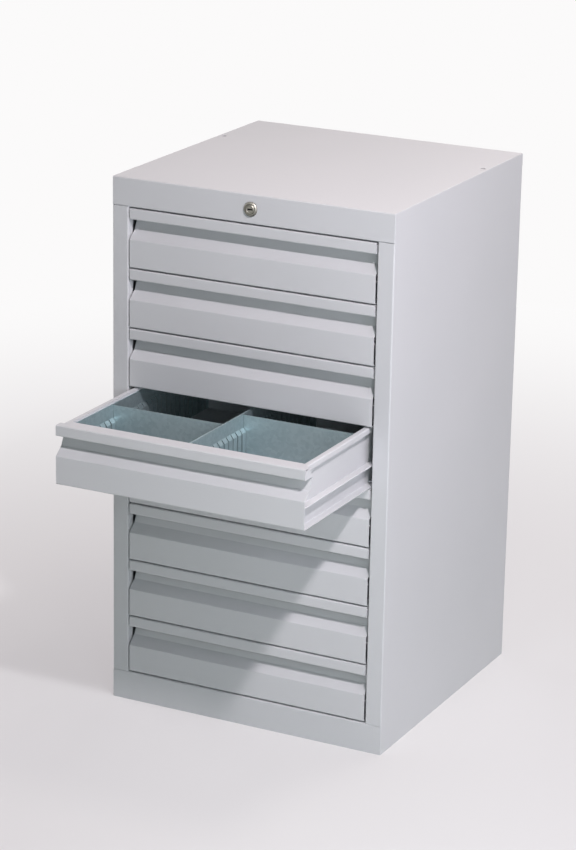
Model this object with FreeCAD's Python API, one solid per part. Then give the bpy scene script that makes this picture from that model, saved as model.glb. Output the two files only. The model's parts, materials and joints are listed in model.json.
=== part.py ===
import FreeCAD, Part
import math
import os
from FreeCAD import Vector

# Steel drawer cabinet with eight equal drawers, a header with a lock and a plinth.
# Millimetres, +Z up, origin on the floor at the centre of the carcass footprint, front towards -Y.
# Drawers are numbered from the top. Drawer 4 stands partly open.

# Carcass
WIDTH = 400.0
DEPTH = 400.0
HEIGHT = 720.0
SHEET = 1.0  # carcass and drawer sheet
BEND = 0.8  # inside radius of every fold
HEADER = 38.0
PLINTH = 40.0
STILE = 23.0
RAIL_RETURN = 12.0  # depth of the folds behind header, plinth and stiles
REAR_FLANGE = 16.0  # folds around the back panel
WELD_FLANGE = 14.0  # fold of a side panel under the top
BASE_UPTURN = 20.0
SEAM = 0.3  # gap left where a fold ends beside another sheet
WELD_END = 10.0  # distance that a weld flange stops short of front and back
EDGE_ROUND = 0.7  # ground weld along the ends of top and plinth

# Fixing holes: two in the top near the side edges, four in the base
TOP_HOLE_R = 3.5
TOP_HOLE_INSET = 8.0
TOP_HOLE_BACK = 285.0  # from the front face
BASE_HOLE_R = 4.5
BASE_HOLE_INSET = 40.0

# Drawer fronts
DRAWERS = 8
OPEN_DRAWER = 4
OPEN_BY = 184.0
FRONT_GAP = 2.0
LIP = 14.3  # height of the pull lip's face
LIP_FLANGE = 12.0  # fold that drops inside behind the lip
LIP_END = 12.0  # depth of the lip's ends, beside the tray
EAR_DEPTH = 17.0  # ear that closes the hollow end of the lip
EAR_DROP = 2.5  # ear to the top of the lip
EAR_SLOPE = 3.0
EAR_FOOT = 8.0  # the ear leans back from the front sheet above here, from the top
GRIP_DEPTH = 21.0  # how far the finger grip runs in under the lip
GRIP_CREASE_DEPTH = 13.5
GRIP_CREASE_DROP = 30.0  # below the top of the front
GRIP_END_DROP = 41.0
FRONT_RETURN = 14.0

# Drawer trays
TRAY_BEHIND = 28.0  # from the tray's rear wall to the back of the carcass
SIDE_INSET = 10.0  # side wall, inside the end of the front
HEM = 7.0
RIB_HEIGHT = 27.0  # underside of the rib above the drawer's bottom
RIB_SHEETS = 2  # the rib is the side wall folded double
REAR_WALL_DROP = 12.0

# Dividers and slotted strips
CROSS_DROP = 5.0
STRIP_SHEET = 0.8
STRIP_DROP = 3.5
STRIP_FLAT = 18.5
STRIP_STEP = 4.0  # how far the strip steps in from the wall
STRIP_SLOPE = 5.5
SLOT = 2.0
SLOT_PITCH = 12.0
SLOT_FIRST = 2.5  # from the tray's front wall to the middle of the first slot
LEFT_CROSS_SLOT = 8
RIGHT_CROSS_SLOT = 12
DIVIDER_PLAY = 0.3

# Runners and glides
RUNNER_SHEET = 1.2
RUNNER_FLANGE = 11.5
GLIDE = 2.0  # thickness of a nylon glide
GLIDE_LENGTH = 25.0
GLIDE_WIDTH = 7.0
RUNNING_GAP = 0.3
STOP_GAP = 0.5
STAYS_IN = 92.0  # length of a fully open tray that is still in the carcass
WALL_PLAY = 1.5  # runner flange to drawer wall
POST_DEPTH = 28.0
POST_SET_BACK = 1.0
RIVET_R = 2.0
RIVET_HEAD_R = 4.0
RIVET_HEAD = 1.2
RIVET_BULB_R = 2.8
RIVET_BULB = 3.0
HOLE_PLAY = 0.1

# Central lock
LOCK_HEAD_R = 9.5
LOCK_HEAD = 3.0
LOCK_BODY_R = 8.5
LOCK_BODY = 22.0
BARREL_R = 6.0
BARREL_TAIL = 3.0
KEY_SLOT_WIDTH = 7.0
KEY_SLOT_HEIGHT = 1.8
KEY_SLOT_DEPTH = 9.0
NUT_FLATS = 22.0
NUT = 4.0
ROD_R = 3.0
FIT = 0.08  # radial running clearance of barrel and rod
CRANK_R = 8.0
CRANK = 3.0
CRANK_PIN_R = 2.0
LOCK_TURN = 90.0
CRANK_SLOT_PLAY = 0.4
BAR = 3.0
BAR_WIDTH = 20.0
BAR_HEAD_WIDTH = 32.0
BAR_HEAD = 16.0
BAR_BACK_GAP = 5.0  # bar to back panel
BAR_FOOT = 8.0  # below the lowest hook
HOOK_WIDTH = 14.0
HOOK_ARM = 2.0
HOOK_NOSE = 10.0
HOOK_TIP_GAP = 0.7
CATCH_SHEET = 1.5
CATCH_WIDTH = 24.0
CATCH_REACH = 8.0
CATCH_LIP = 8.0
CATCH_FLANGE = 12.0
CATCH_TOP_GAP = 4.0  # catch flange to the top of the rear wall
CATCH_PLAY = 2.0
GUIDE_SHEET = 1.2
GUIDE_HEIGHT = 14.0
GUIDE_FOOT = 10.0
GUIDE_PLAY = 0.4
BRACKET_WIDTH = 24.0
BRACKET_DROP = 10.0  # below the rod's axis
BRACKET_FOOT = 14.0
BRACKET_GAP = 4.0

# Worked out from the sizes above
EPSILON = 0.001
HALF_W = WIDTH / 2
FRONT_Y = -DEPTH / 2
BACK_Y = DEPTH / 2
SIDE_IN = HALF_W - SHEET
OPENING_X = HALF_W - STILE
PITCH = (HEIGHT - HEADER - PLINTH - FRONT_GAP) / DRAWERS
FRONT_H = PITCH - FRONT_GAP
FRONT_HALF = OPENING_X - FRONT_GAP
WALL_X = FRONT_HALF - SIDE_INSET
WALL_IN = WALL_X - SHEET
TRAY_LENGTH = DEPTH - TRAY_BEHIND  # from the front face
TRAVEL = TRAY_LENGTH - STAYS_IN
TRAY_FRONT = GRIP_DEPTH + 2 * SHEET
LIP_FLOOR = FRONT_H - LIP + SHEET + BEND
HEM_START = LIP_END + SEAM
RIB_TOP = RIB_HEIGHT + RIB_SHEETS * SHEET
REAR_WALL_H = FRONT_H - REAR_WALL_DROP
FLOOR = 2 * SHEET  # top of the tray's floor, which lies on the front's return
CROSS_TOP = FRONT_H - CROSS_DROP
STRIP_TOP = FRONT_H - STRIP_DROP
SLOT_COUNT = int((TRAY_LENGTH - TRAY_FRONT - 2 * SLOT_FIRST) / SLOT_PITCH) + 1

POST_Y = FRONT_Y + RAIL_RETURN + POST_SET_BACK
POST_X = OPENING_X + SHEET
RUNNER_X = POST_X - RUNNER_SHEET
RUNNER_TOP = RIB_HEIGHT - GLIDE - RUNNING_GAP
RUNNER_BOTTOM = SHEET + GLIDE + RUNNING_GAP
BACK_IN = BACK_Y - 2 * SHEET
REAR_POST_Y = BACK_IN - WELD_END - POST_DEPTH
RUNNER_END = REAR_POST_Y + POST_DEPTH - POST_SET_BACK
GLIDE_X = WALL_X + WALL_PLAY
FIXED_GLIDE_Y = POST_Y + POST_SET_BACK + 4 * SHEET
MOVING_GLIDE_Y = FIXED_GLIDE_Y + GLIDE_LENGTH + STOP_GAP + TRAVEL

LOCK_Z = HEIGHT - HEADER / 2
BAR_Y = BACK_IN - BAR_BACK_GAP - BAR
CRANK_LOW = -CRANK_R * math.sin(math.radians(LOCK_TURN / 2))
CRANK_SIDE = -CRANK_R * math.cos(math.radians(LOCK_TURN / 2))
LOCK_LIFT = -2 * CRANK_LOW
CRANK_Y = BAR_Y - STOP_GAP - CRANK
CATCH_Z = REAR_WALL_H - CATCH_TOP_GAP - CATCH_FLANGE
HOOK_TIP = CATCH_Z - HOOK_TIP_GAP - LOCK_LIFT
REAR_WALL_Y = FRONT_Y + TRAY_LENGTH
HOOK_Y = REAR_WALL_Y + CATCH_REACH - CATCH_SHEET - CATCH_PLAY - HOOK_ARM


def drawer_z(number):
    """Height of the bottom edge of a drawer's front."""
    return PLINTH + FRONT_GAP + PITCH * (DRAWERS - number)


def box(x0, x1, y0, y1, z0, z1):
    return Part.makeBox(x1 - x0, y1 - y0, z1 - z0, Vector(x0, y0, z0))


def mirrored(shape):
    """The same piece on the other side of the cabinet."""
    return shape.mirror(Vector(0, 0, 0), Vector(1, 0, 0))


def both_sides(shape):
    return [shape, mirrored(shape)]


def fused(shapes):
    """Pieces of one sheet joined into one solid."""
    whole = shapes[0]
    for other in shapes[1:]:
        whole = whole.fuse(other)
    return whole.removeSplitter()


def cylinder_y(x, y0, y1, z, radius):
    return Part.makeCylinder(radius, y1 - y0, Vector(x, y0, z), Vector(0, 1, 0))


def cylinder_x(x0, x1, y, z, radius):
    return Part.makeCylinder(radius, x1 - x0, Vector(x0, y, z), Vector(1, 0, 0))


def round_corners(points, radii):
    """Closed outline through the points, each corner rounded to its own radius."""
    corners = []
    for i, (here, radius) in enumerate(zip(points, radii)):
        back = (points[i - 1] - here).normalize()
        ahead = (points[(i + 1) % len(points)] - here).normalize()
        half = back.getAngle(ahead) / 2
        reach = radius / math.tan(half)
        middle = here
        if radius:
            middle = here + (back + ahead).normalize() * (radius / math.sin(half) - radius)
        corners.append((here + back * reach, middle, here + ahead * reach, radius))
    edges = []
    for (start, middle, end, radius), following in zip(corners, corners[1:] + corners[:1]):
        if radius:
            edges.append(Part.Arc(start, middle, end).toShape())
        edges.append(Part.LineSegment(end, following[0]).toShape())
    return Part.Wire(edges)


def folded(path, thickness, plane, low, high):
    """A sheet folded along path, which is one skin of it.

    The thickness goes to the path's right-hand side, or to its left if it is negative.
    plane is XY, YZ or XZ, and the section runs from low to high along the third axis.
    """
    points = [Vector(u, v, 0) for u, v in path]
    steps = [(b - a).normalize() for a, b in zip(points, points[1:])]
    rights = [Vector(step.y, -step.x, 0) for step in steps]
    inner, skin_radii, inner_radii = [], [], []
    for i, point in enumerate(points):
        if i in (0, len(points) - 1):
            side = rights[0] if i == 0 else rights[-1]
            inner.append(point + side * thickness)
            skin_radii.append(0.0)
            inner_radii.append(0.0)
            continue
        before, after = rights[i - 1], rights[i]
        bisector = (before + after).normalize()
        inner.append(point + bisector * (thickness / bisector.dot(before)))
        turns_right = steps[i - 1].cross(steps[i]).z < 0
        skin_outside = turns_right == (thickness > 0)
        skin_radii.append(BEND + abs(thickness) if skin_outside else BEND)
        inner_radii.append(BEND if skin_outside else BEND + abs(thickness))
    outline = round_corners(points + inner[::-1], skin_radii + inner_radii[::-1])
    face = Part.Face(outline)
    if plane == "XY":
        face.translate(Vector(0, 0, low))
        return face.extrude(Vector(0, 0, high - low))
    if plane == "XZ":
        face.rotate(Vector(0, 0, 0), Vector(1, 0, 0), 90)
        face.translate(Vector(0, low, 0))
        return face.extrude(Vector(0, high - low, 0))
    face.rotate(Vector(0, 0, 0), Vector(1, 1, 1), 120)
    face.translate(Vector(low, 0, 0))
    return face.extrude(Vector(high - low, 0, 0))


def ground_ends(sheet):
    """Round the outer skin's edge at both ends of a folded sheet, where it is welded to the sides."""
    radius = min(EDGE_ROUND, 0.8 * SHEET)
    skin = []
    for edge in sheet.Edges:
        span = edge.BoundBox
        at_end = span.XMin > HALF_W - EPSILON or span.XMax < EPSILON - HALF_W
        flat = min(span.YMax - FRONT_Y, BACK_Y - span.YMin, HEIGHT - span.ZMin) < EPSILON
        bend = edge.Curve.TypeId == "Part::GeomCircle" and edge.Curve.Radius > BEND + EPSILON
        if at_end and (flat or bend):
            skin.append(edge)
    return sheet.makeFillet(radius, skin)


def top_hole():
    """Cutter for the fixing hole near the right edge, through the top and the weld flange."""
    place = Vector(HALF_W - TOP_HOLE_INSET, FRONT_Y + TOP_HOLE_BACK, HEIGHT - 3 * SHEET)
    return Part.makeCylinder(TOP_HOLE_R, 4 * SHEET, place)


def top_panel():
    """Top sheet, folded down in front as the header and behind as a short skirt."""
    path = [
        (FRONT_Y + RAIL_RETURN, HEIGHT - HEADER),
        (FRONT_Y, HEIGHT - HEADER),
        (FRONT_Y, HEIGHT),
        (BACK_Y, HEIGHT),
        (BACK_Y, HEIGHT - REAR_FLANGE),
    ]
    sheet = ground_ends(folded(path, SHEET, "YZ", -HALF_W, HALF_W))
    inside = FRONT_Y + SHEET
    notch = box(SIDE_IN - SEAM, HALF_W + SHEET, inside, inside + RAIL_RETURN, 0, LOCK_Z)
    for tool in both_sides(notch) + both_sides(top_hole()):
        sheet = sheet.cut(tool)
    lock_hole = cylinder_y(0, FRONT_Y - SHEET, FRONT_Y + 2 * SHEET, LOCK_Z, LOCK_BODY_R + HOLE_PLAY)
    return sheet.cut(lock_hole)


def right_side_panel():
    """Side sheet folded into the front stile, the rear flange and a weld flange under the top."""
    path = [
        (OPENING_X, FRONT_Y + RAIL_RETURN),
        (OPENING_X, FRONT_Y),
        (HALF_W, FRONT_Y),
        (HALF_W, BACK_Y),
        (HALF_W - REAR_FLANGE, BACK_Y),
    ]
    sheet = folded(path, -SHEET, "XY", 0, HEIGHT - SHEET)
    behind = FRONT_Y + RAIL_RETURN + SHEET
    for low, high in ((-SHEET, PLINTH), (HEIGHT - HEADER, HEIGHT)):
        sheet = sheet.cut(box(0, SIDE_IN, FRONT_Y - SHEET, behind, low, high))
        sheet = sheet.cut(box(0, HALF_W + SHEET, FRONT_Y - SHEET, FRONT_Y + SHEET, low, high))
    skirt = HEIGHT - REAR_FLANGE
    sheet = sheet.cut(box(0, HALF_W + SHEET, BACK_Y - SHEET, BACK_Y + SHEET, skirt, HEIGHT))
    fold = SHEET + BEND
    for y in (FRONT_Y, BACK_Y - fold):
        sheet = sheet.cut(box(SIDE_IN - SHEET, HALF_W + SHEET, y, y + fold, HEIGHT - fold, HEIGHT))
    top = HEIGHT - SHEET
    flange = box(SIDE_IN - WELD_FLANGE, SIDE_IN, POST_Y, BACK_IN - WELD_END, top - SHEET, top)
    return fused([sheet, flange]).cut(top_hole())


def plinth_rail():
    path = [(FRONT_Y, 0.0), (FRONT_Y, PLINTH), (FRONT_Y + RAIL_RETURN, PLINTH)]
    rail = ground_ends(folded(path, SHEET, "YZ", -HALF_W, HALF_W))
    inside = FRONT_Y + SHEET
    notch = box(SIDE_IN - SEAM, HALF_W + SHEET, inside, inside + RAIL_RETURN, -SHEET, PLINTH + SHEET)
    for tool in both_sides(notch):
        rail = rail.cut(tool)
    return rail


def base_panel():
    """Bottom sheet on the floor, turned up along both sides."""
    path = [(-SIDE_IN, BASE_UPTURN), (-SIDE_IN, 0.0), (SIDE_IN, 0.0), (SIDE_IN, BASE_UPTURN)]
    sheet = folded(path, -SHEET, "XZ", FRONT_Y + SHEET, BACK_IN)
    hole_x = HALF_W - BASE_HOLE_INSET
    hole_y = BACK_Y - BASE_HOLE_INSET
    for x in (-hole_x, hole_x):
        for y in (-hole_y, hole_y):
            sheet = sheet.cut(Part.makeCylinder(BASE_HOLE_R, 4 * SHEET, Vector(x, y, -SHEET)))
    return sheet


def back_panel():
    half = SIDE_IN - BEND
    return box(-half, half, BACK_IN, BACK_Y - SHEET, 0, HEIGHT - 2 * SHEET)


def rivet_places(number, y):
    """Rivet centres of one runner: its mid height at the middle of one post."""
    return y + POST_DEPTH / 2, drawer_z(number) + (RUNNER_TOP + RUNNER_BOTTOM) / 2


def post(y):
    """Channel welded inside the side panel, drilled for the rivets of the runners."""
    path = [(SIDE_IN, y), (POST_X, y), (POST_X, y + POST_DEPTH), (SIDE_IN, y + POST_DEPTH)]
    channel = folded(path, RUNNER_SHEET, "XY", BASE_UPTURN, HEIGHT - 2 * SHEET)
    for number in range(1, DRAWERS + 1):
        at_y, at_z = rivet_places(number, y)
        hole = cylinder_x(POST_X - SHEET, POST_X + 2 * RUNNER_SHEET, at_y, at_z, RIVET_R + HOLE_PLAY)
        channel = channel.cut(hole)
    return channel


def runner(number):
    """Channel that stands in the outward channel of the drawer's side."""
    bottom = drawer_z(number)
    tip = POST_X - RUNNER_FLANGE
    path = [
        (tip, bottom + RUNNER_TOP),
        (POST_X, bottom + RUNNER_TOP),
        (POST_X, bottom + RUNNER_BOTTOM),
        (tip, bottom + RUNNER_BOTTOM),
    ]
    channel = folded(path, RUNNER_SHEET, "XZ", POST_Y + POST_SET_BACK, RUNNER_END)
    for y in (POST_Y, REAR_POST_Y):
        at_y, at_z = rivet_places(number, y)
        hole = cylinder_x(RUNNER_X - SHEET, POST_X + SHEET, at_y, at_z, RIVET_R + HOLE_PLAY)
        channel = channel.cut(hole)
    return channel


def rivets():
    """Two rivets through every runner: domed head inside the runner, bulb behind the post's web."""
    found = []
    for number in range(1, DRAWERS + 1):
        for y in (POST_Y, REAR_POST_Y):
            at_y, at_z = rivet_places(number, y)
            head = cylinder_x(RUNNER_X - RIVET_HEAD, RUNNER_X, at_y, at_z, RIVET_HEAD_R)
            rim = [edge for edge in head.Edges if edge.BoundBox.XMax < RUNNER_X - RIVET_HEAD / 2]
            head = head.makeFillet(RIVET_HEAD / 2, rim)
            shank = cylinder_x(RUNNER_X, POST_X + RUNNER_SHEET, at_y, at_z, RIVET_R)
            bulb_x = POST_X + RUNNER_SHEET
            bulb = cylinder_x(bulb_x, bulb_x + RIVET_BULB, at_y, at_z, RIVET_BULB_R)
            found += both_sides(fused([head, shank, bulb]))
    return found


def fixed_glides():
    """Nylon pads on each runner: a glide in front and the closing stop behind."""
    found = []
    stop_y = MOVING_GLIDE_Y + GLIDE_LENGTH + STOP_GAP
    for number in range(1, DRAWERS + 1):
        low = drawer_z(number) + RUNNER_TOP
        for y in (FIXED_GLIDE_Y, stop_y):
            pad = box(GLIDE_X, GLIDE_X + GLIDE_WIDTH, y, y + GLIDE_LENGTH, low, low + GLIDE)
            found += both_sides(pad)
    return found


def drawer_front():
    """Front sheet with the pull lip and the finger grip folded in under it, ends left open."""
    top = FRONT_H
    path = [
        (FRONT_RETURN, 0.0),
        (0.0, 0.0),
        (0.0, top - GRIP_END_DROP),
        (GRIP_CREASE_DEPTH, top - GRIP_CREASE_DROP),
        (GRIP_DEPTH, top - LIP),
        (0.0, top - LIP),
        (0.0, top),
        (TRAY_FRONT, top),
        (TRAY_FRONT, top - LIP_FLANGE),
    ]
    sheet = folded(path, SHEET, "YZ", -FRONT_HALF, FRONT_HALF)
    left, right = WALL_IN - SEAM, FRONT_HALF + SHEET
    return_end = box(left, right, SHEET, FRONT_RETURN + SHEET, -SHEET, FLOOR + BEND)
    lip_end = box(left, right, LIP_END, TRAY_FRONT + SHEET, LIP_FLOOR, top + SHEET)
    for notch in both_sides(return_end) + both_sides(lip_end):
        sheet = sheet.cut(notch)
    ear_side = [
        (0.5 * SHEET, LIP_FLOOR - BEND - 0.5 * SHEET),
        (0.5 * SHEET, top - EAR_FOOT),
        (EAR_SLOPE, top - EAR_DROP),
        (EAR_DEPTH, top - EAR_DROP),
        (EAR_DEPTH, LIP_FLOOR - BEND - 0.5 * SHEET),
    ]
    points = [Vector(FRONT_HALF - SHEET, y, z) for y, z in ear_side]
    ear = Part.Face(Part.makePolygon(points + points[:1])).extrude(Vector(SHEET, 0, 0))
    return fused([sheet] + both_sides(ear))


def drawer_tray():
    """Tray: floor, front and rear wall, and side walls with outward flange, rib and top hem."""
    top = FRONT_H
    slope = (GRIP_END_DROP - GRIP_CREASE_DROP) / GRIP_CREASE_DEPTH
    cheek_top = top - GRIP_END_DROP - 2 * SHEET
    cheek = [
        (SHEET, FLOOR),
        (SHEET, cheek_top),
        (GRIP_CREASE_DEPTH, cheek_top + slope * (GRIP_CREASE_DEPTH - SHEET)),
        (TRAY_FRONT, top - GRIP_CREASE_DROP),
        (TRAY_FRONT, LIP_FLOOR),
        (HEM_START, LIP_FLOOR),
        (HEM_START, top - SHEET),
        (TRAY_LENGTH, top - SHEET),
        (TRAY_LENGTH, FLOOR),
    ]
    points = [Vector(WALL_IN, y, z) for y, z in cheek]
    wall = Part.Face(Part.makePolygon(points + points[:1])).extrude(Vector(SHEET, 0, 0))
    hem_path = [(WALL_IN, top), (WALL_IN + HEM, top), (WALL_IN + HEM, top - HEM)]
    hem = folded(hem_path, SHEET, "XZ", HEM_START, TRAY_LENGTH)
    rib = box(WALL_X, FRONT_HALF, SHEET, TRAY_LENGTH, RIB_HEIGHT, RIB_TOP)
    outer = [edge for edge in rib.Edges if edge.BoundBox.XMin > WALL_X + SHEET and edge.Length > TRAY_FRONT]
    rib = rib.makeFillet(BEND, outer)
    flange_path = [(FRONT_HALF, 0.0), (WALL_IN, 0.0), (WALL_IN, RIB_HEIGHT)]
    flange = folded(flange_path, SHEET, "XZ", SHEET, TRAY_LENGTH)
    side = fused([wall, hem, rib, flange])
    floor = box(-WALL_X, WALL_X, SHEET + BEND, TRAY_LENGTH, SHEET, FLOOR)
    front = box(-WALL_X, WALL_X, TRAY_FRONT, TRAY_FRONT + SHEET, SHEET, top - SHEET)
    rear = box(-WALL_X, WALL_X, TRAY_LENGTH - SHEET, TRAY_LENGTH, SHEET, REAR_WALL_H)
    return fused([floor, side, mirrored(side), front, rear])


def rear_catch():
    """Hooked plate on the rear wall that the locking bar's hook holds."""
    y = TRAY_LENGTH
    half = CATCH_WIDTH / 2
    flange = box(-half, half, y, y + CATCH_SHEET, CATCH_Z, CATCH_Z + CATCH_FLANGE)
    shelf = box(-half, half, y, y + CATCH_REACH, CATCH_Z, CATCH_Z + CATCH_SHEET)
    lip = box(-half, half, y + CATCH_REACH - CATCH_SHEET, y + CATCH_REACH, CATCH_Z - CATCH_LIP, CATCH_Z)
    return fused([flange, shelf, lip])


def moving_glides():
    """Nylon pads at the rear of the drawer, above and below the runner."""
    back = MOVING_GLIDE_Y - FRONT_Y
    upper = box(GLIDE_X, GLIDE_X + GLIDE_WIDTH, back, back + GLIDE_LENGTH, RIB_HEIGHT - GLIDE, RIB_HEIGHT)
    lower = box(GLIDE_X, GLIDE_X + GLIDE_WIDTH, back, back + GLIDE_LENGTH, SHEET, SHEET + GLIDE)
    return both_sides(upper) + both_sides(lower)


def slot_y(index):
    return TRAY_FRONT + SHEET + SLOT_FIRST + SLOT_PITCH * index


def slotted_strip(wall_x):
    """Strip that steps in from a wall at wall_x on its right, slotted for cross dividers."""
    step_z = STRIP_TOP - STRIP_FLAT
    path = [
        (wall_x - STRIP_STEP, FLOOR),
        (wall_x - STRIP_STEP, step_z - STRIP_SLOPE),
        (wall_x, step_z),
        (wall_x, STRIP_TOP),
    ]
    strip = folded(path, -STRIP_SHEET, "XZ", TRAY_FRONT + SHEET, TRAY_LENGTH - SHEET)
    right = wall_x - STRIP_SHEET
    for index in range(SLOT_COUNT):
        y = slot_y(index)
        left = wall_x - 2 * STRIP_STEP
        strip = strip.cut(box(left, right, y - SLOT / 2, y + SLOT / 2, 0, step_z + BEND))
    return strip


def strips():
    half = SHEET / 2
    at_wall = slotted_strip(WALL_IN)
    at_divider = slotted_strip(-half)
    return both_sides(at_wall) + both_sides(at_divider)


def centre_divider():
    half = SHEET / 2
    return box(-half, half, TRAY_FRONT + SHEET, TRAY_LENGTH - SHEET, FLOOR, STRIP_TOP)


def cross_dividers():
    """One cross divider in a slot of the left half and one in the right half."""
    near = SHEET / 2 + STRIP_SHEET + DIVIDER_PLAY
    far = WALL_IN - STRIP_SHEET - DIVIDER_PLAY
    left_y, right_y = slot_y(LEFT_CROSS_SLOT), slot_y(RIGHT_CROSS_SLOT)
    half = SHEET / 2
    left = box(-far, -near, left_y - half, left_y + half, FLOOR, CROSS_TOP)
    right = box(near, far, right_y - half, right_y + half, FLOOR, CROSS_TOP)
    return [left, right]


def lock_cylinder():
    head = cylinder_y(0, FRONT_Y - LOCK_HEAD, FRONT_Y, LOCK_Z, LOCK_HEAD_R)
    rim = [edge for edge in head.Edges if edge.BoundBox.YMax < FRONT_Y - LOCK_HEAD / 2]
    head = head.makeFillet(LOCK_HEAD / 4, rim)
    body = cylinder_y(0, FRONT_Y, FRONT_Y + LOCK_BODY, LOCK_Z, LOCK_BODY_R)
    bore = cylinder_y(0, FRONT_Y - 2 * LOCK_HEAD, FRONT_Y + 2 * LOCK_BODY, LOCK_Z, BARREL_R + FIT)
    return fused([head, body]).cut(bore)


def lock_barrel():
    """Barrel with a level key slot, longer than the cylinder by its tail."""
    face_y = FRONT_Y - LOCK_HEAD
    barrel = cylinder_y(0, face_y, FRONT_Y + LOCK_BODY + BARREL_TAIL, LOCK_Z, BARREL_R)
    half_w, half_h = KEY_SLOT_WIDTH / 2, KEY_SLOT_HEIGHT / 2
    slot = box(-half_w, half_w, face_y - SHEET, face_y + KEY_SLOT_DEPTH, LOCK_Z - half_h, LOCK_Z + half_h)
    return barrel.cut(slot)


def lock_nut():
    y = FRONT_Y + SHEET
    corner = NUT_FLATS / 2 / math.cos(math.radians(30))
    points = []
    for i in range(7):
        angle = math.radians(60 * i)
        points.append(Vector(corner * math.cos(angle), y, LOCK_Z + corner * math.sin(angle)))
    nut = Part.Face(Part.makePolygon(points)).extrude(Vector(0, NUT, 0))
    return nut.cut(cylinder_y(0, y - SHEET, y + 2 * NUT, LOCK_Z, LOCK_BODY_R + HOLE_PLAY / 2))


def lock_rod():
    """Rod from the barrel to the back, with a crank and pin that lift the locking bar."""
    start = FRONT_Y + LOCK_BODY + BARREL_TAIL
    rod = cylinder_y(0, start, CRANK_Y + CRANK, LOCK_Z, ROD_R)
    pin_x, pin_z = CRANK_SIDE, LOCK_Z + CRANK_LOW
    eye_r = 2 * CRANK_PIN_R
    hub = cylinder_y(0, CRANK_Y, CRANK_Y + CRANK, LOCK_Z, 2 * ROD_R)
    eye = cylinder_y(pin_x, CRANK_Y, CRANK_Y + CRANK, pin_z, eye_r)
    web = box(-CRANK_R, 0, CRANK_Y, CRANK_Y + CRANK, LOCK_Z - eye_r, LOCK_Z + eye_r)
    web.rotate(Vector(0, 0, LOCK_Z), Vector(0, 1, 0), -LOCK_TURN / 2)
    pin = cylinder_y(pin_x, CRANK_Y, BAR_Y + BAR + SHEET, pin_z, CRANK_PIN_R)
    return fused([rod, hub, web, eye, pin])


def rod_bracket():
    """Angle under the top that carries the rod's rear end."""
    under = HEIGHT - SHEET
    face_y = CRANK_Y - BRACKET_GAP
    path = [
        (face_y, LOCK_Z - BRACKET_DROP),
        (face_y, under),
        (face_y - BRACKET_FOOT, under),
    ]
    bracket = folded(path, -CATCH_SHEET, "YZ", -BRACKET_WIDTH / 2, BRACKET_WIDTH / 2)
    return bracket.cut(cylinder_y(0, face_y - BRACKET_FOOT, face_y + SHEET, LOCK_Z, ROD_R + FIT))


def hook(number):
    """Arm from the bar with a nose that rises behind the drawer's catch."""
    tip = drawer_z(number) + HOOK_TIP
    half = HOOK_WIDTH / 2
    low = tip - HOOK_NOSE
    nose = box(-half, half, HOOK_Y, HOOK_Y + HOOK_ARM, low, tip)
    arm = box(-half, half, HOOK_Y, BAR_Y, low - HOOK_ARM, low)
    return fused([nose, arm])


def locking_bar():
    """Flat bar behind the drawers, its head slotted for the crank pin, and one hook for each drawer."""
    half, head_half = BAR_WIDTH / 2, BAR_HEAD_WIDTH / 2
    foot = drawer_z(DRAWERS) + HOOK_TIP - HOOK_NOSE - HOOK_ARM - BAR_FOOT
    pin_z = LOCK_Z + CRANK_LOW
    strip = box(-half, half, BAR_Y, BAR_Y + BAR, foot, pin_z - BAR_HEAD / 2)
    head = box(-head_half, head_half, BAR_Y, BAR_Y + BAR, pin_z - BAR_HEAD / 2, pin_z + BAR_HEAD / 2)
    head = fused([strip, head])
    room = CRANK_PIN_R + CRANK_SLOT_PLAY
    slot_x = (-CRANK_R, CRANK_SIDE)
    for x in slot_x:
        head = head.cut(cylinder_y(x, BAR_Y - SHEET, BAR_Y + 2 * BAR, pin_z, room))
    head = head.cut(box(slot_x[0], slot_x[1], BAR_Y - SHEET, BAR_Y + 2 * BAR, pin_z - room, pin_z + room))
    return [head] + [hook(number) for number in range(1, DRAWERS + 1)]


def bar_guides():
    """Three saddles on the back panel that hold the bar and let it slide."""
    side = BAR_WIDTH / 2 + GUIDE_PLAY
    front = BAR_Y - GUIDE_PLAY
    path = [
        (-side - GUIDE_FOOT, BACK_IN),
        (-side, BACK_IN),
        (-side, front),
        (side, front),
        (side, BACK_IN),
        (side + GUIDE_FOOT, BACK_IN),
    ]
    found = []
    for number in (2, DRAWERS // 2 + 1, DRAWERS):
        low = drawer_z(number) + CATCH_Z + LOCK_LIFT
        found.append(folded(path, GUIDE_SHEET, "XY", low, low + GUIDE_HEIGHT))
    return found


def drawers():
    """Nodes of every drawer, at its place. All are alike, but only the open one has cross dividers."""
    pieces = {
        "front": [drawer_front()],
        "tray": [drawer_tray(), rear_catch()],
        "glides": moving_glides(),
        "slotted_strips": strips(),
        "centre_divider": [centre_divider()],
    }
    nodes = {}
    for number in range(1, DRAWERS + 1):
        out = OPEN_BY if number == OPEN_DRAWER else 0.0
        place = Vector(0, FRONT_Y - out, drawer_z(number))
        own = {**pieces, "cross_dividers": cross_dividers()} if number == OPEN_DRAWER else pieces
        for name, solids in own.items():
            nodes[f"drawer_{number}_{name}"] = [solid.translated(place) for solid in solids]
    return nodes


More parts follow.
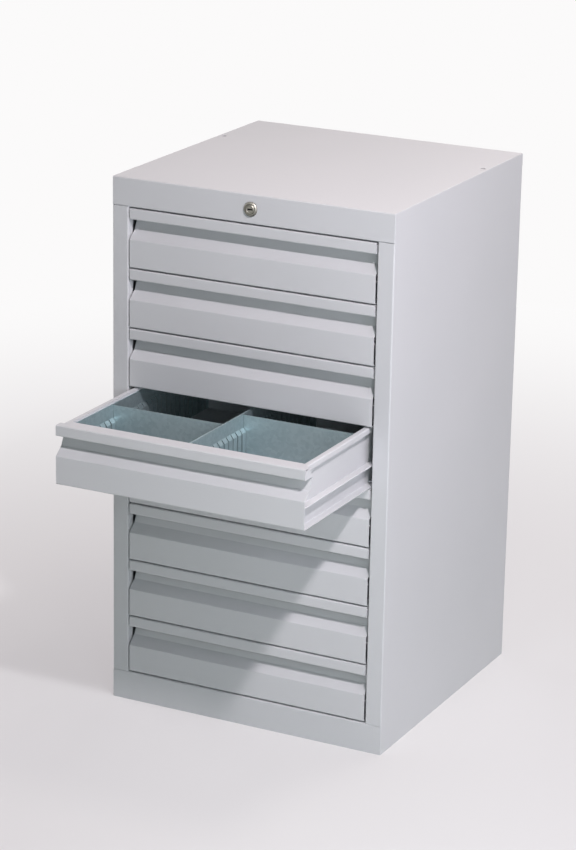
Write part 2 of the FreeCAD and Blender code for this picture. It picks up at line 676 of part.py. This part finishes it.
def carcass():
    """Nodes of the fixed cabinet and of the lock."""
    return {
        "top_panel": [top_panel()],
        "right_side_panel": [right_side_panel()],
        "left_side_panel": [mirrored(right_side_panel())],
        "plinth_rail": [plinth_rail()],
        "base_panel": [base_panel()],
        "back_panel": [back_panel()],
        "front_posts": both_sides(post(POST_Y)),
        "rear_posts": both_sides(post(REAR_POST_Y)),
        "right_runners": [runner(number) for number in range(1, DRAWERS + 1)],
        "left_runners": [mirrored(runner(number)) for number in range(1, DRAWERS + 1)],
        "runner_rivets": rivets(),
        "runner_glides": fixed_glides(),
        "lock_cylinder": [lock_cylinder()],
        "lock_barrel": [lock_barrel()],
        "lock_nut": [lock_nut()],
        "lock_rod": [lock_rod()],
        "rod_bracket": [rod_bracket()],
        "locking_bar": locking_bar(),
        "bar_guides": bar_guides(),
    }


os.makedirs("parts", exist_ok=True)
for node, solids in {**carcass(), **drawers()}.items():
    shape = solids[0] if len(solids) == 1 else Part.makeCompound(solids)
    shape.exportStep(f"parts/{node}.step")
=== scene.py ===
import json
import math

import bpy
from mathutils import Matrix, Vector


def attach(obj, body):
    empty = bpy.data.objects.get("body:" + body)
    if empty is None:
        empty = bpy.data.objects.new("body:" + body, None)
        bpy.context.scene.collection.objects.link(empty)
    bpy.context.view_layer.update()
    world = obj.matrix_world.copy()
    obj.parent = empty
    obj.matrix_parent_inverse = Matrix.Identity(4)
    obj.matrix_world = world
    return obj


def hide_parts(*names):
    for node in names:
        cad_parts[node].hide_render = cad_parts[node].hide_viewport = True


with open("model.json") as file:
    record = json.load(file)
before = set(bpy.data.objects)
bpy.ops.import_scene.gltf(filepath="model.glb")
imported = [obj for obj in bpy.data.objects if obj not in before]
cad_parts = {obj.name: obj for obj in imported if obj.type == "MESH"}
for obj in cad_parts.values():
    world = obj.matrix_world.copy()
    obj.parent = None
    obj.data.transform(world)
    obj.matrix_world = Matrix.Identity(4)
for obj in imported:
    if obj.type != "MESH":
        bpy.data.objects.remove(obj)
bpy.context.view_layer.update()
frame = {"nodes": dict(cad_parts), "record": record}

# Steel small-parts cabinet: finishes, lock details, floor, light and camera.
# Metres, +Z up, origin on the floor at the centre of the carcass, front towards -Y.

MM = 0.001

# Camera: azimuth 0 looks along +Y from the front, 90 looks along -X from the right.
CAMERA_AZIMUTH = 26.87
CAMERA_ELEVATION = 17.85
CAMERA_ROLL = 1.02
CAMERA_PLACE = (1.6574, -3.3573, 1.5664)
SENSOR = 36.0
LENS = 123.85

# Lamps: name, place, point it is turned to, width of the square, power, colour
LAMPS = (
    ("key_lamp", (1.14, -1.26, 2.03), (0, -0.1, 0.4), 0.14, 36.0, "#FFF7FC"),
    ("top_lamp", (0.30, 0.05, 2.00), (0, 0, 0.7), 0.40, 5.8, "#FFEEE9"),
    ("side_lamp", (1.10, -0.55, 0.80), (0.1, -0.1, 0.4), 0.60, 3.0, "#F3EAFF"),
    ("front_lamp", (0.75, -1.15, 0.68), (0.1, -0.2, 0.42), 0.35, 3.2, "#EAF8FA"),
    ("left_lamp", (-2.20, 0.35, 1.15), (0, 0, 0.4), 1.20, 15.0, "#FFFAFC"),
    ("back_lamp", (0.35, 2.30, 1.40), (0, 0, 0.4), 2.20, 28.0, "#FFFAFC"),
)
WORLD_STRENGTH = 0.04
WORLD_COLOUR = "#F0FFF8"

# Sockets of the mix and map range nodes, by number, because several share a name
FACTOR, TONE_A, TONE_B, MIXED = 0, 6, 7, 2
VALUE, FROM_LOW, FROM_HIGH, TO_LOW, TO_HIGH = range(5)

# Lock: axis height, plane of the header's face, and turned profiles as radius and depth in mm
LOCK_Z = 701 * MM
FRONT_Y = -200 * MM
TURNED_SEGMENTS = 96
MERGE = 0.001 * MM
SMOOTH_ANGLE = 28  # degrees
BEZEL_PROFILE = (
    (6.12, -2.1), (6.6, -2.2), (6.9, -2.85), (7.5, -3.0), (7.8, -2.9), (9.2, -1.5), (9.5, -1.1),
    (9.5, -0.2), (9.2, 0.0), (8.5, 0.0), (8.5, 21.6), (8.1, 22.0), (6.5, 22.0), (6.12, 21.6))
BARREL_PROFILE = ((4.3, -2.3), (4.7, -2.75), (5.5, -2.8), (6.0, -2.3), (6.0, 24.5), (5.5, 25.0))
# Key slot from its bottom out through the barrel's face: depth, width and height in mm
KEYWAY_BOTTOM = (6.0, 6.6, 1.5)
KEYWAY_SECTIONS = ((-1.6, 6.6, 1.5), (-2.1, 7.0, 1.8), (-4.1, 7.0, 1.8))

# Floor: white begins to take over at FADE_START from FADE_MIDDLE and has at FADE_END.
FLOOR_RADIUS = 40.0
FLOOR_SIDES = 96
FADE_MIDDLE = (0.15, -0.30, 0.0)
FADE_START = 0.35
FADE_END = 2.3
SHADOW_LIFT = 0.58  # share of the paper's painted glow that the camera sees near the cabinet: painted light that lightens the cabinet's shadows on the floor


def srgb(hex_value):
    """Linear colour, with full alpha, of an sRGB hex value."""
    channels = [int(hex_value[i:i + 2], 16) / 255 for i in (1, 3, 5)]
    linear = [c / 12.92 if c <= 0.04045 else ((c + 0.055) / 1.055) ** 2.4 for c in channels]
    return (*linear, 1.0)


def add_node(tree, kind, inputs=None, **settings):
    """Add one node with its settings, and give its inputs values or links."""
    made = tree.nodes.new(kind)
    for name, value in settings.items():
        setattr(made, name, value)
    for socket, value in (inputs or {}).items():
        if isinstance(value, bpy.types.NodeSocket):
            tree.links.new(value, made.inputs[socket])
        else:
            made.inputs[socket].default_value = value
    return made


def new_material(name, **shader_values):
    """Empty node material with one Principled shader, whose plain values are set here."""
    material = bpy.data.materials.new(name)
    material.use_nodes = True
    tree = material.node_tree
    tree.nodes.clear()
    inputs = {socket.replace("_", " "): value for socket, value in shader_values.items()}
    shader = add_node(tree, "ShaderNodeBsdfPrincipled", inputs)
    add_node(tree, "ShaderNodeOutputMaterial", {"Surface": shader.outputs[0]})
    return material, tree, shader


def vary(tree, shader, tone_share, tones, gloss_share, gloss):
    """Mix the colour from two tones by one pattern, and vary the roughness by another."""
    tone = add_node(tree, "ShaderNodeMix",
                    {FACTOR: tone_share, TONE_A: srgb(tones[0]), TONE_B: srgb(tones[1])},
                    data_type="RGBA")
    rough = add_node(tree, "ShaderNodeMapRange",
                     {VALUE: gloss_share, TO_LOW: gloss[0], TO_HIGH: gloss[1]})
    tree.links.new(tone.outputs[MIXED], shader.inputs["Base Color"])
    tree.links.new(rough.outputs[0], shader.inputs["Roughness"])


def powder_coat():
    """Polyester powder coat on steel sheet: satin light grey, with a fine orange peel that
    breaks up the gloss, and a slow waviness where the rolled sheet isn't quite flat."""
    material, tree, shader = new_material("grey_powder_coat", IOR=1.5)
    place = add_node(tree, "ShaderNodeTexCoord").outputs["Object"]
    cloud = add_node(tree, "ShaderNodeTexNoise",
                     {"Vector": place, "Scale": 1 / (160 * MM), "Detail": 1.0})
    vary(tree, shader, cloud.outputs[0], ("#C4C6C8", "#CBCCCE"), cloud.outputs[0], (0.52, 0.62))
    waves = add_node(tree, "ShaderNodeTexNoise",
                     {"Vector": place, "Scale": 1 / (110 * MM), "Detail": 0.0})
    wavy = add_node(tree, "ShaderNodeBump", {"Height": waves.outputs[0], "Distance": 0.5 * MM})
    # Orange peel is about 1 mm across, and is drawn at 1.6 mm so that it shows.
    peel = add_node(tree, "ShaderNodeTexNoise",
                    {"Vector": place, "Scale": 1 / (1.6 * MM), "Detail": 1.0})
    skin = add_node(tree, "ShaderNodeBump",
                    {"Height": peel.outputs[0], "Distance": 0.03 * MM, "Normal": wavy.outputs[0]})
    tree.links.new(skin.outputs[0], shader.inputs["Normal"])
    return material


def galvanised_sheet():
    """Hot-dip galvanised sheet: dull blue-grey zinc, skin-passed and partly oxidised, which
    softens its reflections and leaves a fine, faint spangle of crystals."""
    material, tree, shader = new_material("galvanised_sheet", Metallic=0.75)
    place = add_node(tree, "ShaderNodeTexCoord").outputs["Object"]
    crystal = add_node(tree, "ShaderNodeTexVoronoi",
                       {"Vector": place, "Scale": 1 / (4 * MM)})
    share = add_node(tree, "ShaderNodeSeparateColor", {0: crystal.outputs["Color"]})
    cloud = add_node(tree, "ShaderNodeTexNoise",
                     {"Vector": place, "Scale": 1 / (60 * MM), "Detail": 1.0})
    vary(tree, shader, share.outputs[0], ("#A1B3B7", "#AEBFC2"), cloud.outputs[0], (0.42, 0.52))
    return material


def zinc_plate():
    """Bright zinc plate on pressed steel: cool, semi-gloss, with a fine drawn grain."""
    material, tree, shader = new_material("zinc_plate", Metallic=1.0)
    place = add_node(tree, "ShaderNodeTexCoord").outputs["Object"]
    cloud = add_node(tree, "ShaderNodeTexNoise",
                     {"Vector": place, "Scale": 1 / (25 * MM), "Detail": 2.0})
    vary(tree, shader, cloud.outputs[0], ("#AEB4B8", "#C6CACC"), cloud.outputs[0], (0.26, 0.40))
    # The noise is stretched fifty times along Y, into lines of about 0.6 by 30 mm.
    drawn = add_node(tree, "ShaderNodeMapping", {"Vector": place, "Scale": (1.0, 0.02, 1.0)})
    grain = add_node(tree, "ShaderNodeTexNoise",
                     {"Vector": drawn.outputs[0], "Scale": 1 / (0.6 * MM)})
    skin = add_node(tree, "ShaderNodeBump", {"Height": grain.outputs[0], "Distance": 0.01 * MM})
    tree.links.new(skin.outputs[0], shader.inputs["Normal"])
    return material


def satin_nickel():
    """Satin nickel on turned zinc: warm mid-grey metal whose ring-shaped tool marks draw the
    light out into a streak from the middle to the rim."""
    material, tree, shader = new_material("satin_nickel", Metallic=1.0, Anisotropic=0.75)
    place = add_node(tree, "ShaderNodeTexCoord").outputs["Object"]
    cloud = add_node(tree, "ShaderNodeTexNoise",
                     {"Vector": place, "Scale": 1 / (4 * MM), "Detail": 2.0})
    vary(tree, shader, cloud.outputs[0], ("#7B7A72", "#8C8A82"), cloud.outputs[0], (0.30, 0.40))
    turned_lines = add_node(tree, "ShaderNodeTangent", direction_type="RADIAL", axis="Y")
    tree.links.new(turned_lines.outputs[0], shader.inputs["Tangent"])
    return material


def nylon():
    """Moulded natural nylon: off-white, slightly glossy, a little translucent."""
    material, tree, shader = new_material("nylon", IOR=1.53, Subsurface_Weight=0.2,
                                          Subsurface_Scale=2 * MM)
    place = add_node(tree, "ShaderNodeTexCoord").outputs["Object"]
    cloud = add_node(tree, "ShaderNodeTexNoise",
                     {"Vector": place, "Scale": 1 / (6 * MM), "Detail": 2.0})
    vary(tree, shader, cloud.outputs[0], ("#DAD6CB", "#E6E3DA"), cloud.outputs[0], (0.38, 0.48))
    return material


def finish_nodes():
    """Give every CAD node the material of its slot in the record."""
    made = {
        "grey_powder_coat": powder_coat(),
        "galvanised_sheet": galvanised_sheet(),
        "zinc_plate": zinc_plate(),
        "nickel": satin_nickel(),
        "nylon": nylon(),
    }
    slots = {part["node"]: part["material_slot"] for part in frame["record"]["subparts"]}
    for name, piece in frame["nodes"].items():
        piece.data.materials.clear()
        piece.data.materials.append(made[slots[name]])
    return made


def turned_part(name, profile, bored):
    """Lathe-turned part on the lock's axis: a ring drawn back and resized along its profile."""
    radius, depth = (value * MM for value in profile[0])
    bpy.ops.object.select_all(action="DESELECT")
    bpy.ops.mesh.primitive_circle_add(
        vertices=TURNED_SEGMENTS, radius=radius, fill_type="NOTHING",
        location=(0, FRONT_Y + depth, LOCK_Z), rotation=(math.pi / 2, 0, 0))
    part = bpy.context.object
    part.name = name
    bpy.ops.object.editmode_toggle()
    bpy.ops.mesh.select_all(action="SELECT")
    if not bored:
        bpy.ops.mesh.edge_face_add()
        bpy.ops.mesh.select_mode(type="FACE")
    for next_radius, next_depth in profile[1:] + (profile[:1] if bored else ()):
        scale = next_radius * MM / radius
        forward = next_depth * MM - depth
        bpy.ops.mesh.extrude_region_move(TRANSFORM_OT_translate={"value": (0, forward, 0)})
        bpy.ops.transform.resize(value=(scale, 1, scale), center_override=(0, 0, LOCK_Z))
        radius, depth = next_radius * MM, next_depth * MM
    bpy.ops.mesh.select_mode(type="VERT")
    bpy.ops.mesh.select_all(action="SELECT")
    bpy.ops.mesh.remove_doubles(threshold=MERGE)
    bpy.ops.mesh.normals_make_consistent(inside=False)
    bpy.ops.object.editmode_toggle()
    return part


def keyway_cutter():
    """Level key slot, widened into a funnel at its mouth: a rectangle drawn out and resized."""
    depth, width, height = KEYWAY_BOTTOM
    middle = (0, FRONT_Y + depth * MM, LOCK_Z)
    bpy.ops.object.select_all(action="DESELECT")
    bpy.ops.mesh.primitive_plane_add(size=1, location=middle, rotation=(math.pi / 2, 0, 0))
    cutter = bpy.context.object
    bpy.ops.object.transform_apply(location=True, rotation=True, scale=True)
    bpy.ops.object.editmode_toggle()
    bpy.ops.mesh.select_all(action="SELECT")
    bpy.ops.transform.resize(value=(width * MM, 1, height * MM), center_override=middle)
    for next_depth, next_width, next_height in KEYWAY_SECTIONS:
        forward = (next_depth - depth) * MM
        scale = (next_width / width, 1, next_height / height)
        bpy.ops.mesh.extrude_region_move(TRANSFORM_OT_translate={"value": (0, forward, 0)})
        bpy.ops.transform.resize(value=scale, center_override=(0, 0, LOCK_Z))
        depth, width, height = next_depth, next_width, next_height
    bpy.ops.mesh.select_all(action="SELECT")
    bpy.ops.mesh.normals_make_consistent(inside=False)
    bpy.ops.object.editmode_toggle()
    return cutter


def finish_piece(piece, material, slot, body, *nodes):
    """Smooth, dress and place a modelled piece on its body, in place of CAD nodes."""
    bpy.ops.object.select_all(action="DESELECT")
    piece.select_set(True)
    bpy.context.view_layer.objects.active = piece
    bpy.ops.object.shade_smooth_by_angle(angle=math.radians(SMOOTH_ANGLE))
    bpy.ops.object.transform_apply(location=True, rotation=True, scale=True)
    piece.data.materials.clear()
    piece.data.materials.append(material)
    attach(piece, body)
    if nodes:
        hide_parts(*nodes)


def make_lock(metal):
    """Lock of two turned parts: chamfered bezel with its threaded body, and barrel with keyway."""
    bezel = turned_part("lock_bezel", BEZEL_PROFILE, bored=True)
    finish_piece(bezel, metal, "nickel", "cabinet", "lock_cylinder")
    barrel = turned_part("lock_barrel_face", BARREL_PROFILE, bored=False)
    cutter = keyway_cutter()
    keyway = barrel.modifiers.new("keyway", "BOOLEAN")
    keyway.object = cutter
    keyway.solver = "EXACT"
    bpy.context.view_layer.objects.active = barrel
    bpy.ops.object.modifier_apply(modifier="keyway")
    bpy.data.objects.remove(cutter)
    finish_piece(barrel, metal, "nickel", "lock", "lock_barrel")


def seen_by(tree, *kinds):
    """One where a ray is of any of these kinds, and zero elsewhere."""
    rays = add_node(tree, "ShaderNodeLightPath").outputs
    seen = rays[kinds[0]]
    for kind in kinds[1:]:
        seen = add_node(tree, "ShaderNodeMath", {0: seen, 1: rays[kind]},
                        operation="MAXIMUM").outputs[0]
    return seen


def make_floor():
    """Pale floor under the cabinet, which fades to white away from it for camera and gloss; near
    the cabinet its glow is painted light that lightens the cabinet's shadows, and its darker tone
    there is painted shade.
    """
    bpy.ops.mesh.primitive_circle_add(vertices=FLOOR_SIDES, radius=FLOOR_RADIUS, fill_type="NGON")
    floor = bpy.context.object
    floor.name = "floor"
    material, tree, shader = new_material("studio_floor", Roughness=0.9,
                                          Base_Color=srgb("#E3EAE7"))
    place = add_node(tree, "ShaderNodeTexCoord").outputs["Object"]
    distance = add_node(tree, "ShaderNodeVectorMath", {0: place, 1: FADE_MIDDLE},
                        operation="DISTANCE")
    away = add_node(tree, "ShaderNodeMapRange",
                    {VALUE: distance.outputs["Value"], FROM_LOW: FADE_START, FROM_HIGH: FADE_END},
                    interpolation_type="SMOOTHSTEP")
    # Painted glow: darker near the cabinet as painted shade of the floor around it, white far off.
    painted_glow_tone = add_node(tree, "ShaderNodeMix",
                     {FACTOR: away.outputs[0], TONE_A: srgb("#DED6DA"), TONE_B: srgb("#FBFAFA")},
                     data_type="RGBA")
    glow = add_node(tree, "ShaderNodeEmission", {"Color": painted_glow_tone.outputs[MIXED]})
    seen = seen_by(tree, "Is Camera Ray", "Is Glossy Ray", "Is Transmission Ray")
    # Painted light: near the cabinet, part of what camera and gloss see is this glow, which
    # lightens the cabinet's cast shadows.
    lift = add_node(tree, "ShaderNodeMapRange", {VALUE: away.outputs[0], TO_LOW: SHADOW_LIFT})
    share = add_node(tree, "ShaderNodeMath", {0: seen, 1: lift.outputs[0]}, operation="MULTIPLY")
    both = add_node(tree, "ShaderNodeMixShader",
                    {0: share.outputs[0], 1: shader.outputs[0], 2: glow.outputs[0]})
    output = next(n for n in tree.nodes if n.type == "OUTPUT_MATERIAL")
    tree.links.new(both.outputs[0], output.inputs["Surface"])
    floor.data.materials.append(material)


def make_lamp(name, place, aim, size, power, colour):
    """Square soft lamp at a place, turned to a point."""
    bpy.ops.object.light_add(type="AREA", location=place)
    lamp = bpy.context.object
    lamp.name = name
    lamp.data.size = size
    lamp.data.energy = power
    lamp.data.color = srgb(colour)[:3]
    lamp.rotation_euler = (Vector(aim) - Vector(place)).to_track_quat("-Z", "Y").to_euler()


def make_world():
    """Even white surround, which gloss and the camera see as plain white."""
    world = bpy.data.worlds.new("studio")
    bpy.context.scene.world = world
    world.use_nodes = True
    tree = world.node_tree
    tree.nodes.clear()
    seen = seen_by(tree, "Is Camera Ray", "Is Glossy Ray")
    strength = add_node(tree, "ShaderNodeMapRange", {VALUE: seen, TO_LOW: WORLD_STRENGTH})
    tint = add_node(tree, "ShaderNodeMix",
                    {FACTOR: seen, TONE_A: srgb(WORLD_COLOUR), TONE_B: (1, 1, 1, 1)},
                    data_type="RGBA")
    sky = add_node(tree, "ShaderNodeBackground",
                   {"Color": tint.outputs[MIXED], "Strength": strength.outputs[0]})
    add_node(tree, "ShaderNodeOutputWorld", {"Surface": sky.outputs[0]})


def make_camera():
    """Camera at the viewing angle, with its lens on the long side of the picture."""
    azimuth = math.radians(CAMERA_AZIMUTH)
    elevation = math.radians(CAMERA_ELEVATION)
    roll = math.radians(CAMERA_ROLL)
    level = math.cos(elevation)
    forward = Vector((-math.sin(azimuth) * level, math.cos(azimuth) * level, -math.sin(elevation)))
    right = forward.cross(Vector((0, 0, 1))).normalized()
    up = right.cross(forward)
    right, up = (math.cos(roll) * right + math.sin(roll) * up,
                 math.cos(roll) * up - math.sin(roll) * right)
    data = bpy.data.cameras.new("camera")
    data.sensor_width = SENSOR
    data.lens = LENS
    camera = bpy.data.objects.new("camera", data)
    bpy.context.scene.collection.objects.link(camera)
    turned = Matrix((right, up, -forward)).transposed().to_4x4()
    camera.matrix_world = Matrix.Translation(CAMERA_PLACE) @ turned
    bpy.context.scene.camera = camera


bpy.ops.object.select_all(action="DESELECT")
materials = finish_nodes()
make_lock(materials["nickel"])
make_floor()
for lamp in LAMPS:
    make_lamp(*lamp)
make_world()
make_camera()
bpy.context.scene.view_settings.view_transform = "Standard"
